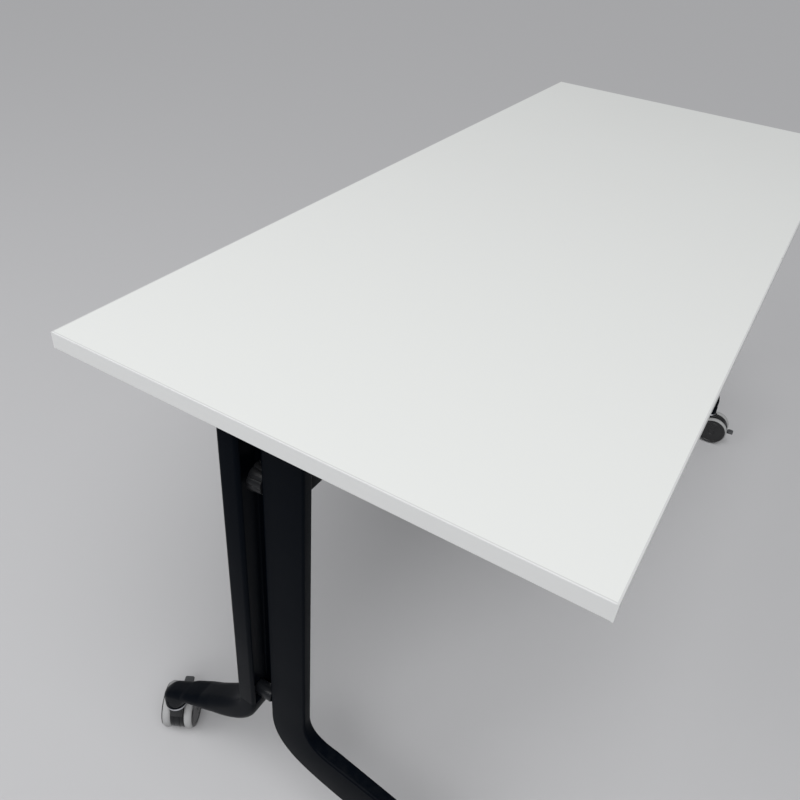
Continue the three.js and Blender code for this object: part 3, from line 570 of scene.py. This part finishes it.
# Tilt pins and their bushes: each pin goes through the bracket's ear and the leg head's lug.
# Zinc plated steel with a bevelled end and a spring ring; the bush between pin and ear is grey nylon.
pin_radius, pin_groove_radius = 6, 5
pin_ring_radius, pin_ring_inset, pin_ring_width = 8.2, 0.4, 1.2
pin_low, pin_high = (np.array(corner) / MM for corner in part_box("pivot_pin_right"))
zinc_plate = coated(
    "zinc_plate", (0.60, 0.61, 0.64), (0.50, 0.51, 0.54), (0.28, 0.42), 260, 0.1, patch_scale=40, metal=1.0)
grey_nylon = coated(
    "grey_nylon", (0.055, 0.058, 0.062), (0.075, 0.078, 0.082), (0.4, 0.55), 800, 0.2, dusty=0.05)


def finish_solid(node_name, material):
    """Gives a CAD node that keeps its own mesh its material."""
    node = frame["nodes"][node_name]
    node.data.materials.clear()
    node.data.materials.append(material)


pin = bevelled_rod(pin_radius, pin_low[0], pin_high[0], 40)
pin_ring_low = pin_low[0] + pin_ring_inset
pin_ring_high = pin_ring_low + pin_ring_width
pin_ring = turned([
    (pin_groove_radius, pin_ring_low), (pin_ring_radius, pin_ring_low), (pin_ring_radius, pin_ring_high),
    (pin_groove_radius, pin_ring_high)], 40)
for end, side in ENDS.items():
    build(f"tilt_pin_{end}", [
        moved(facing(skin, "x", side), (0, pivot_y, pivot_z)) for skin in (pin, pin_ring)],
        zinc_plate, "base", [f"pivot_pin_{end}"])
    finish_solid(f"pivot_bush_{end}", grey_nylon)

# Tabletop: a particle board core faced with white melamine laminate, and its white edging strips.
# The laminate has a fine pearl texture with faint wipe marks; the strips are ironed on and trimmed flush.
laminate = coated(
    "white_laminate", (0.80, 0.81, 0.795), (0.775, 0.79, 0.775), (0.34, 0.42), 2600, 0.05, patch_scale=2.2)
finish_solid("tabletop_core", laminate)
edging = coated(
    "white_edging", (0.665, 0.672, 0.668), (0.63, 0.637, 0.636), (0.36, 0.48), 1500, 0.06, patch_scale=5)
# Small nicks: a few cells of a cell pattern hold a dark speck at their middle
nick_scale, nick_dark = 55, (0.20, 0.19, 0.18)
nick_edge, nick_core = 0.10, 0.04
nick_rare, nick_rarest = 0.86, 0.88
edging_nodes, edging_links = edging.node_tree.nodes, edging.node_tree.links
nick_place = edging_nodes.new("ShaderNodeTexCoord")
nick_cells = edging_nodes.new("ShaderNodeTexVoronoi")
nick_cells.inputs["Scale"].default_value = nick_scale
nick_speck = edging_nodes.new("ShaderNodeMapRange")
nick_speck.inputs["From Min"].default_value = nick_edge
nick_speck.inputs["From Max"].default_value = nick_core
nick_chosen = edging_nodes.new("ShaderNodeMapRange")
nick_chosen.inputs["From Min"].default_value = nick_rare
nick_chosen.inputs["From Max"].default_value = nick_rarest
nick_split = edging_nodes.new("ShaderNodeSeparateColor")
nick_both = edging_nodes.new("ShaderNodeMath")
nick_both.operation = "MULTIPLY"
nick_colour = edging_nodes.new("ShaderNodeMix")
nick_colour.data_type = "RGBA"
nick_colour.inputs["B"].default_value = (*nick_dark, 1)
edging_shader = edging_nodes["Principled BSDF"]
edging_links.new(nick_place.outputs["Object"], nick_cells.inputs["Vector"])
edging_links.new(nick_cells.outputs["Distance"], nick_speck.inputs["Value"])
edging_links.new(nick_cells.outputs["Color"], nick_split.inputs["Color"])
edging_links.new(nick_split.outputs["Red"], nick_chosen.inputs["Value"])
edging_links.new(nick_speck.outputs["Result"], nick_both.inputs[0])
edging_links.new(nick_chosen.outputs["Result"], nick_both.inputs[1])
edging_links.new(nick_both.outputs[0], nick_colour.inputs["Factor"])
edging_links.new(edging_shader.inputs["Base Color"].links[0].from_socket, nick_colour.inputs["A"])
edging_links.new(nick_colour.outputs["Result"], edging_shader.inputs["Base Color"])
for edge_name in ("front", "rear", "left", "right"):
    finish_solid(f"edge_band_{edge_name}", edging)

# Top brackets: a pressed steel plate under the top at each end, with an ear for the tilt pin and one for
# the latch bar. Coated black; six zinc plated screws hold each plate to the board.
bracket_thickness, bracket_corner, bracket_edge = 4, 8, 0.8
ear_eye, ear_spread, ear_edge, ear_sink = 16, 14, 1.2, 1
latch_eye, latch_spread, latch_ear_edge = 9, 8, 1.0
latch_y, latch_z = (value / MM for value in joint_of["latch_turn"]["pos_m"][1:])
plate_bottom = underside - bracket_thickness
screw_radius, screw_height, screw_socket, screw_facets = 5, 3, 2.2, 36
screw_end_inset, screw_side_inset = 14, 9
# The rings of a screw's head, as shares of its radius, of its socket's size and of its height
screw_dome, screw_hexagon, screw_middle = [1, 1, 0.86, 0.62], [1.06, 1, 1], 0.05
screw_heights = np.array([0, 0.45, 0.82, 1, 1, 0.94, 0.3, 0.3])


def ear(y, z, radius, spread):
    """A lug: two straight sides from the plate to a half circle below the eye."""
    ear_top = plate_bottom + ear_sink
    return np.concatenate([
        [(y + radius + spread, ear_top), (y - radius - spread, ear_top)], arc((y, z), radius, 180, 360)])


def screw_head():
    """A low round head on Z: rings from the rim over the dome to the socket's floor. The socket's rings are
    hexagons, their radius the apothem over the cosine of the angle from the middle of the nearest flat."""
    turn = np.linspace(0, 2 * math.pi, screw_facets, endpoint=False)
    hexagon = screw_socket / np.cos((turn % (math.pi / 3)) - math.pi / 6)
    circle = np.ones_like(turn)
    radius = np.stack([
        *[share * screw_radius * circle for share in screw_dome],
        *[share * hexagon for share in screw_hexagon], screw_middle * circle])
    height = screw_height * screw_heights[:, None] + 0 * radius
    return closed_skin(np.stack([radius * np.cos(turn), radius * np.sin(turn), height], axis=2))


for end in ENDS:
    plate_low, plate_high = (np.array(corner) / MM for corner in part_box(f"top_bracket_{end}"))
    ear_low, ear_high = (corner.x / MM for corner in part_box(f"pivot_bush_{end}"))
    bracket_outline = rectangle(plate_low[0], plate_high[0], plate_low[1], plate_high[1], bracket_corner)
    build(f"bracket_pressing_{end}", [
        plate(bracket_outline, plate_bottom, underside, bracket_edge, "z"),
        plate(ear(pivot_y, pivot_z, ear_eye, ear_spread), ear_low, ear_high, ear_edge, "x"),
        plate(ear(latch_y, latch_z, latch_eye, latch_spread), ear_low, ear_high, latch_ear_edge, "x")],
        black_steel_coat, "top", [f"top_bracket_{end}"])
    screw_ys = (plate_low[1] + screw_end_inset, (pivot_y + latch_y) / 2, plate_high[1] - screw_end_inset)
    screw_xs = (plate_low[0] + screw_side_inset, plate_high[0] - screw_side_inset)
    build(f"bracket_screws_{end}", [
        moved(facing(screw_head(), "z", -1), (x, y, plate_bottom)) for x in screw_xs for y in screw_ys],
        zinc_plate, "top")

# Latch: a round bar in the brackets that turns a hook at each end, worked by a handle beside each hook.
# Bar and hooks are zinc plated steel, the hooks cut from plate; the handles are moulded black nylon.
latch_open = math.radians(-28)
bar_low, bar_high = (np.array(corner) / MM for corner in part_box("latch_bar"))
bar_radius = 5
striker_low, striker_high = (np.array(corner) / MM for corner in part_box("latch_striker_right"))
hook_lip, hook_lip_gap, hook_clear, hook_seat_gap = 10, 1, 2, 0.3
hook_corner, hook_edge = 2.5, 0.8
handle_length, handle_thickness, handle_edge = 84, 7, 2.5


def swung_open(skin):
    """The latch is drawn locked, round the bar's axis, and turned about it into the open position."""
    points, faces = skin
    x, y, z = points.T
    c, s = math.cos(latch_open), math.sin(latch_open)
    return np.stack([x, latch_y + c * y - s * z, latch_z + s * y + c * z], axis=1), faces


latch_rod = facing(bevelled_rod(bar_radius, bar_low[0], bar_high[0], 40), "x", 1)
build("latch_rod", [moved(latch_rod, (0, latch_y, latch_z))], zinc_plate, "latch",
      ["latch_bar"])
lip_top = striker_low[2] - hook_lip_gap - latch_z
lip_end = striker_high[1] - hook_seat_gap - hook_lip_gap - latch_y
arm_back = striker_low[1] - hook_clear - latch_y
# The eye's half circle runs straight into the arm, so the rounding of that first corner starts half way
hook = np.concatenate([
    arc((0, 0), latch_eye, 0, 180), rounded_corners([
        (-latch_eye, -latch_eye), (arm_back - latch_eye, lip_top - hook_lip), (lip_end, lip_top - hook_lip),
        (lip_end, lip_top), (arm_back, lip_top)], hook_corner)[3:]])
handle_tip = handle_thickness / 2
handle_flat = np.concatenate([
    arc((0, 0), latch_eye, -90, 90), arc((-handle_length + handle_tip, 0), handle_tip, 90, 270, 12)])
handle_turn = -latch_open
handle = np.stack([
    handle_flat[:, 0] * math.cos(handle_turn) - handle_flat[:, 1] * math.sin(handle_turn),
    handle_flat[:, 0] * math.sin(handle_turn) + handle_flat[:, 1] * math.cos(handle_turn)], axis=1)
for end in ENDS:
    hook_low, hook_high = (corner.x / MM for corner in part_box(f"latch_hook_{end}"))
    build(f"hook_plate_{end}", [swung_open(plate(hook, hook_low, hook_high, hook_edge, "x"))],
          zinc_plate, "latch", [f"latch_hook_{end}"])
    grip_low, grip_high = (corner.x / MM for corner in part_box(f"latch_handle_{end}"))
    build(f"handle_grip_{end}", [swung_open(plate(handle, grip_low, grip_high, handle_edge, "x"))],
          black_nylon, "latch", [f"latch_handle_{end}"])

# Strikers: a small steel block on the beam's front that each hook closes on.
# Zinc plated, and held by a screw from inside the beam.
striker_corner, striker_edge = 2, 1
for end in ENDS:
    low, high = (np.array(corner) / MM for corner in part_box(f"latch_striker_{end}"))
    striker_outline = rectangle(low[0], high[0], low[2], high[2], striker_corner)
    build(f"striker_block_{end}", [plate(striker_outline, low[1], high[1], striker_edge, "y")],
          zinc_plate, "base", [f"latch_striker_{end}"])

# Casters: a body that swivels on its stem under each foot, with a wheel on both sides and a brake pedal
# behind. Body and wheel faces are moulded black nylon, the treads soft light grey, the pedal dark grey
# nylon; the axle and the ring on the collar are plated steel.
wheel_radius, tread_width, tread_depth = 35, 12, 5
wheel_gap, cap_overlap, cap_thickness, cap_gap, cap_slope = 0.75, 2, 1.45, 0.3, 0.2
body_half, body_radius, body_under = 10, 33, 15
cheek_edge, web_edge, neck_corner, neck_edge, neck_sink = 1.2, 0.1, 4, 2, 1
collar_gap, collar_height, collar_inset, collar_bevel, collar_bevel_rise = 0.3, 6, 1.5, 1, 0.8
ring_height, ring_bevel, ring_overlap, ring_sink = 4.5, 0.6, 0.5, 1
stem_radius, stem_length, stem_bevel = 5.5, 13, 1
pedal_half, pedal_eye, pedal_arm, pedal_clear, pedal_gap = 3.5, 8, 8, 2, 0.3
pedal_width, pedal_length, pedal_plate = 15, 12, 5
pedal_arm_edge, pedal_corner, pedal_edge, pedal_sink = 0.6, 3, 1.2, 1
pedal_travel = math.radians(18)
ridge_places = np.array([3, 5.6, 8.2])
ridge_half, ridge_inset, ridge_corner, ridge_sink, ridge_rise, ridge_edge = 0.6, 1, 0.5, 0.5, 0.6, 0.3
rim = wheel_radius - tread_depth
cap_radius = rim + cap_overlap
tread_half = tread_width / 2
bore_radius, bore_bevel, bore_floor = 9, 1, 9.5
crown_steps, crown_drop, crown_power = 15, 2.6, 3
# The wheel's outer face, as radii and heights over it: the rounded edge, a groove, the dish and the hub cap
wheel_face = [
    (cap_radius, -0.9), (cap_radius - 0.3, -0.3), (cap_radius - 0.9, 0),
    (rim - 2.5, 0), (rim - 3.2, -0.7), (rim - 4.2, -0.8), (rim - 5.0, -0.3),
    (20, -0.1), (12, 0.1), (7.4, 0.1), (6.8, -0.5), (6.2, -0.5), (5.6, 0), (0, 0.2)]
tread_rubber = coated(
    "tread_rubber", (0.41, 0.415, 0.42), (0.28, 0.28, 0.28), (0.55, 0.75), 500, 0.3, patch_scale=45)
wheel_nylon = coated(
    "wheel_nylon", (0.011, 0.011, 0.012), (0.020, 0.020, 0.021), (0.24, 0.38), 700, 0.12, patch_scale=25,
    dusty=0.05)


def under_foot(skin, stem, heading):
    """From the caster's own frame, wheels trailing along +X, to its place and heading under the foot."""
    points, faces = skin
    x, y, z = points.T
    c, s = math.cos(heading), math.sin(heading)
    return np.stack([stem[0] + c * x - s * y, stem[1] + s * x + c * y, z], axis=1), faces


cap = tread_half + cap_gap
face = cap + cap_thickness
wheel_centre = turned([
    (0, -tread_half + bore_floor), (bore_radius, -tread_half + bore_floor),
    (bore_radius + bore_bevel, -tread_half), (rim - cap_gap, -tread_half), (rim - cap_gap, cap - cap_slope),
    (cap_radius, cap), *[(radius, face + height) for radius, height in wheel_face]], 96)
crown = np.linspace(-1, 1, crown_steps)
crown_radius = wheel_radius - crown_drop * np.abs(crown) ** crown_power
wheel_tyre = turned([
    (rim, -tread_half), *np.stack([crown_radius, tread_half * crown], axis=1), (rim, tread_half)], 96)
for place in ("front_left", "rear_left", "front_right", "rear_right"):
    stem = np.array(joint_of[f"swivel_{place}"]["pos_m"]) / MM
    axle = np.array(joint_of[f"spin_{place}_a"]["pos_m"]) / MM
    trail = math.hypot(*(axle - stem)[:2])
    heading = math.atan2(*(axle - stem)[1::-1])

    # Body: two cheeks, a middle web cut away for the pedal, a neck and the collar
    slot_half = pedal_half + pedal_gap
    slot_floor = wheel_radius - pedal_eye - pedal_clear
    slot_roof = wheel_radius + body_radius * math.sin(pedal_travel) + pedal_arm / 2 + pedal_clear
    slot_back = trail - pedal_eye - pedal_clear
    hub_centre = (trail, wheel_radius)
    under = math.degrees(math.asin((body_under - wheel_radius) / body_radius))
    roof_turn = math.degrees(math.asin((slot_roof - wheel_radius) / body_radius))
    floor_turn = math.degrees(math.asin((slot_floor - wheel_radius) / body_radius))
    cheek = arc(hub_centre, body_radius, under, 180 - under, 72)
    web = np.concatenate([
        arc(hub_centre, body_radius, roof_turn, 180 - under, 60),
        arc(hub_centre, body_radius, under, floor_turn, 12),
        [(slot_back, slot_floor), (slot_back, slot_roof)]])
    collar_top = socket_height - collar_gap
    collar_bottom = collar_top - collar_height
    collar_radius = socket_radius - collar_inset
    neck_top = collar_bottom + neck_sink
    neck = rounded_corners([
        (-body_half, wheel_radius), (trail, wheel_radius), (trail, neck_top), (-body_half, neck_top)],
        neck_corner)
    ring_bottom = collar_top - ring_height
    ring_seat = ring_bottom + ring_sink
    stem_top = collar_top + stem_length
    collar = turned([
        (0, collar_bottom), (collar_radius - collar_bevel, collar_bottom),
        (collar_radius, collar_bottom + collar_bevel_rise), (collar_radius, ring_seat),
        (stem_radius, ring_seat), (stem_radius, stem_top - stem_bevel),
        (stem_radius - stem_bevel, stem_top), (0, stem_top)])
    build(f"caster_shell_{place}", [under_foot(skin, stem, heading) for skin in (
        plate(cheek, slot_half, body_half, cheek_edge, "y"),
        plate(cheek, -body_half, -slot_half, cheek_edge, "y"),
        plate(web, -slot_half, slot_half, web_edge, "y"),
        plate(neck, -body_half, body_half, neck_edge, "y"), collar)],
        black_nylon, f"caster_{place}", [f"caster_body_{place}"])
    ring = turned([
        (stem_radius - ring_overlap, ring_bottom), (socket_radius - ring_bevel, ring_bottom),
        (socket_radius, ring_bottom + ring_bevel), (socket_radius, collar_top - ring_bevel),
        (socket_radius - ring_bevel, collar_top), (stem_radius - ring_overlap, collar_top)])
    build(f"caster_ring_{place}", [under_foot(ring, stem, heading)],
          zinc_plate, f"caster_{place}")
    finish_solid(f"caster_axle_{place}", zinc_plate)

    # Pedal: an arm on the axle between the cheeks, with a ridged foot plate behind the wheels
    pedal_root = trail + wheel_radius + pedal_clear
    pedal_low, pedal_top = wheel_radius - pedal_arm / 2, wheel_radius + pedal_arm / 2
    spread = math.degrees(math.asin(pedal_arm / 2 / pedal_eye))
    arm = np.concatenate([
        arc(hub_centre, pedal_eye, spread, 360 - spread, 30),
        [(pedal_root, pedal_low), (pedal_root, pedal_top)]])
    foot_outline = rectangle(
        pedal_root - pedal_sink, pedal_root + pedal_length, -pedal_width / 2, pedal_width / 2, pedal_corner)
    foot_plate = plate(foot_outline, pedal_top - pedal_plate, pedal_top, pedal_edge, "z")
    ridges = [
        plate(rectangle(x - ridge_half, x + ridge_half, ridge_inset - pedal_width / 2,
                        pedal_width / 2 - ridge_inset, ridge_corner),
              pedal_top - ridge_sink, pedal_top + ridge_rise, ridge_edge, "z")
        for x in pedal_root + ridge_places]
    build(f"pedal_lever_{place}", [under_foot(skin, stem, heading) for skin in (
        plate(arm, -pedal_half, pedal_half, pedal_arm_edge, "y"), foot_plate, *ridges)],
        grey_nylon, f"pedal_{place}", [f"brake_pedal_{place}"])

    # Wheels: a black centre with a dished face and a light tread with a rounded crown
    for which, sign in (("a", 1), ("b", -1)):
        wheel_place = (trail, sign * (body_half + wheel_gap + tread_half), wheel_radius)
        for name, skin, material, slot, node in (
                ("wheel_centre", wheel_centre, wheel_nylon, "black_plastic", f"wheel_hub_{place}_{which}"),
                ("wheel_tyre", wheel_tyre, tread_rubber, "grey_rubber", f"wheel_tread_{place}_{which}")):
            build(f"{name}_{place}_{which}", [
                under_foot(moved(facing(skin, "y", sign), wheel_place), stem, heading)],
                material, f"wheel_{place}_{which}", [node], crease=28)

# Floor: a plain pale sheet that takes the table's shadow,
# wide enough to fill the view from every side.
floor_half, floor_colour, floor_roughness = 40, (0.50, 0.50, 0.51), 0.75
floor_mesh = bpy.data.meshes.new("floor")
floor_mesh.from_pydata(
    [(-floor_half, -floor_half, 0), (floor_half, -floor_half, 0), (floor_half, floor_half, 0),
     (-floor_half, floor_half, 0)], [], [(0, 1, 2, 3)])
floor_paint = bpy.data.materials.new("floor_paint")
floor_paint.use_nodes = True
floor_shader = floor_paint.node_tree.nodes["Principled BSDF"]
floor_shader.inputs["Base Color"].default_value = (*floor_colour, 1)
floor_shader.inputs["Roughness"].default_value = floor_roughness
floor_mesh.materials.append(floor_paint)
floor = bpy.data.objects.new("floor", floor_mesh)
bpy.context.scene.collection.objects.link(floor)

# Light: a broad, even light from high behind the camera, a soft panel to the front and one to the rear of
# the near end, and a dim surround.
even_light = bpy.data.lights.new("even_light", "SUN")
even_light.energy = 2.0
even_light.angle = math.radians(50)
front_panel = bpy.data.lights.new("front_panel", "AREA")
front_panel.energy = 17
front_panel.size = 1.8
back_panel = bpy.data.lights.new("back_panel", "AREA")
back_panel.energy = 30
back_panel.size = 1.6
for lamp, lamp_place, lamp_aim in (
        (even_light, (-1.6, -1.2, 4.5), (0, 0, 0.5)), (front_panel, (-2.6, -0.9, 2.2), (-0.5, 0, 0.6)),
        (back_panel, (-2.4, 1.8, 2.4), (-0.6, 0.1, 0.6))):
    lamp_object = bpy.data.objects.new(lamp.name, lamp)
    lamp_object.location = lamp_place
    direction = np.array(lamp_aim) - np.array(lamp_place)
    lamp_object.rotation_euler = (math.acos(-direction[2] / np.linalg.norm(direction)), 0,
                                  math.atan2(direction[1], direction[0]) - math.pi / 2)
    bpy.context.scene.collection.objects.link(lamp_object)
surround = bpy.data.worlds.new("surround")
surround.use_nodes = True
surround.node_tree.nodes["Background"].inputs["Color"].default_value = (0.80, 0.81, 0.83, 1)
surround.node_tree.nodes["Background"].inputs["Strength"].default_value = 0.24
bpy.context.scene.world = surround
bpy.context.scene.view_settings.view_transform = "Standard"

# Camera: beyond the near end of the table and above its top, looking down along it.
# Its place is measured from the middle of the top's upper face.
camera_from_middle = np.array([-1097.9, -320.9, 429.2])
yaw, pitch, roll = math.radians(28.214), math.radians(36.384), math.radians(-5.287)
camera_place = (np.array([0, table_middle_y, top_high[2]]) + camera_from_middle) * MM
forward = np.array([math.cos(yaw) * math.cos(pitch), math.sin(yaw) * math.cos(pitch), -math.sin(pitch)])
level = np.array([math.sin(yaw), -math.cos(yaw), 0])
down = np.cross(forward, level)
right = math.cos(roll) * level + math.sin(roll) * down
below = -math.sin(roll) * level + math.cos(roll) * down
camera_data = bpy.data.cameras.new("camera")
camera_data.sensor_fit = "HORIZONTAL"
camera_data.sensor_width = 36
camera_data.lens = 34.344
camera_data.clip_start = 0.05
camera = bpy.data.objects.new("camera", camera_data)
pose = np.eye(4)
pose[:3, :3] = np.stack([right, -below, -forward], axis=1)
pose[:3, 3] = camera_place
camera.matrix_world = Matrix(pose.tolist())
bpy.context.scene.collection.objects.link(camera)
bpy.context.scene.camera = camera
